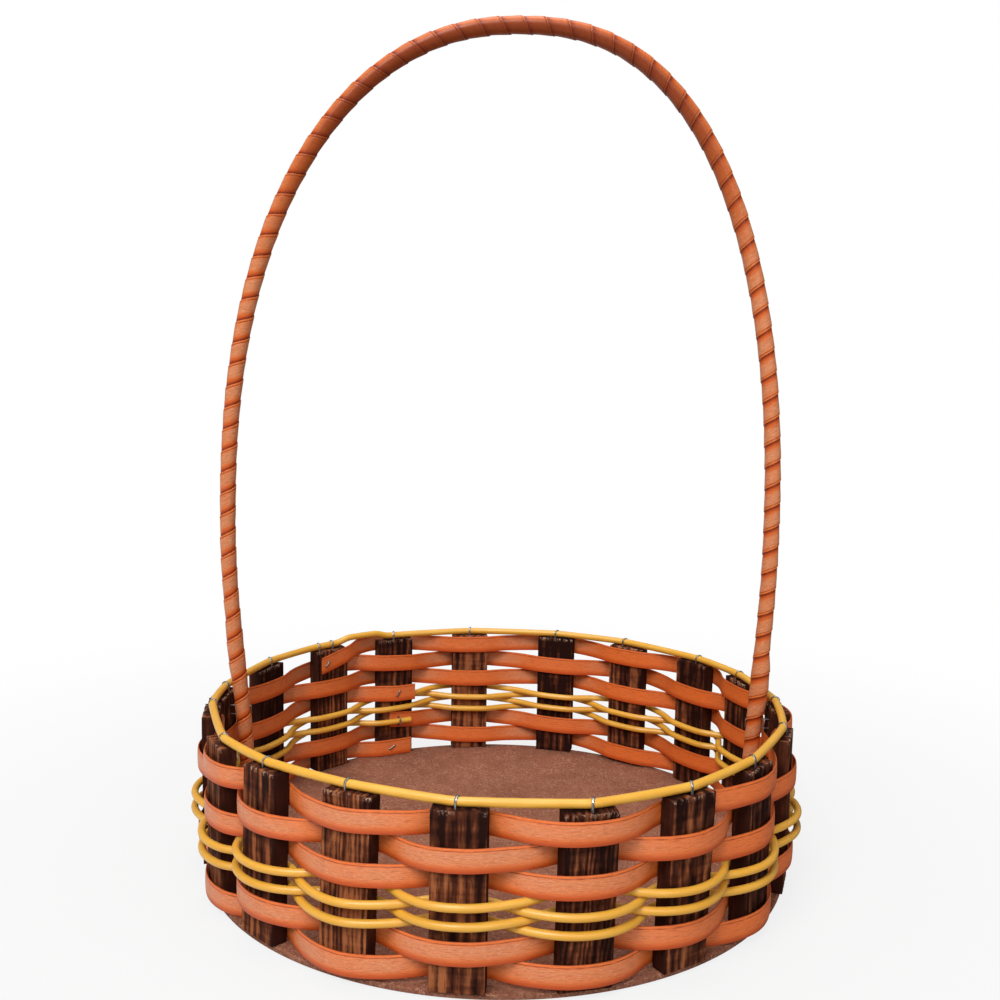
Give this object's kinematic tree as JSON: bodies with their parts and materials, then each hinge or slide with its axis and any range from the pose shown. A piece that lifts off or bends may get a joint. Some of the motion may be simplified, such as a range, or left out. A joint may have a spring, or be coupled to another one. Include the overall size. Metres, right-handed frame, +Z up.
{
  "type": "woven basket",
  "caption": "Round open basket of upright dark slats woven with flat orange strips and round yellow cord, with a corded rim and a tall strip-wrapped arch handle.",
  "frame": {"origin": "centre of the base disc's underside, on the surface that the basket stands on", "axes": "+Z up, +X towards the handle's right leg, +Y to the back, so the arch lies in the XZ plane"},
  "size_m": [0.3342, 0.3316, 0.4516],
  "materials": {
    "base_board": "matt reddish-brown hardboard with a fine speckle",
    "slat_wood": "dark stained sawn softwood with rippled grain",
    "flat_strip": "dyed split cane, satin, fine lengthwise grain",
    "round_cord": "smooth, softly glossy butter yellow",
    "staple_wire": "dull galvanised wire",
    "handle_cane": "bare round cane"
  },
  "bodies": {
    "root": {"base_disc": "base_board", "slat_01": "slat_wood", "slat_02": "slat_wood", "slat_03": "slat_wood", "slat_04": "slat_wood", "slat_05": "slat_wood", "slat_06": "slat_wood", "slat_07": "slat_wood", "slat_08": "slat_wood", "slat_09": "slat_wood", "slat_10": "slat_wood", "slat_11": "slat_wood", "slat_12": "slat_wood", "slat_13": "slat_wood", "slat_14": "slat_wood", "slat_15": "slat_wood", "slat_16": "slat_wood", "slat_17": "slat_wood", "slat_18": "slat_wood", "slat_19": "slat_wood", "lower_tape": "flat_strip", "upper_tape": "flat_strip", "weave_cord": "round_cord", "rim_cord": "round_cord", "rim_staple_01": "staple_wire", "rim_staple_02": "staple_wire", "rim_staple_03": "staple_wire", "rim_staple_04": "staple_wire", "rim_staple_05": "staple_wire", "rim_staple_06": "staple_wire", "rim_staple_07": "staple_wire", "rim_staple_08": "staple_wire", "rim_staple_09": "staple_wire", "rim_staple_10": "staple_wire", "rim_staple_11": "staple_wire", "rim_staple_12": "staple_wire", "rim_staple_13": "staple_wire", "rim_staple_14": "staple_wire", "rim_staple_15": "staple_wire", "rim_staple_16": "staple_wire", "rim_staple_17": "staple_wire", "rim_staple_18": "staple_wire", "rim_staple_19": "staple_wire", "rim_staple_20": "staple_wire", "lower_start_staple": "staple_wire", "cord_tail_staple": "staple_wire", "upper_start_staple": "staple_wire", "upper_end_staple": "staple_wire", "handle_rod": "handle_cane", "handle_wrap": "flat_strip", "handle_staple_left": "staple_wire", "handle_staple_right": "staple_wire"}
  },
  "joints": []
}
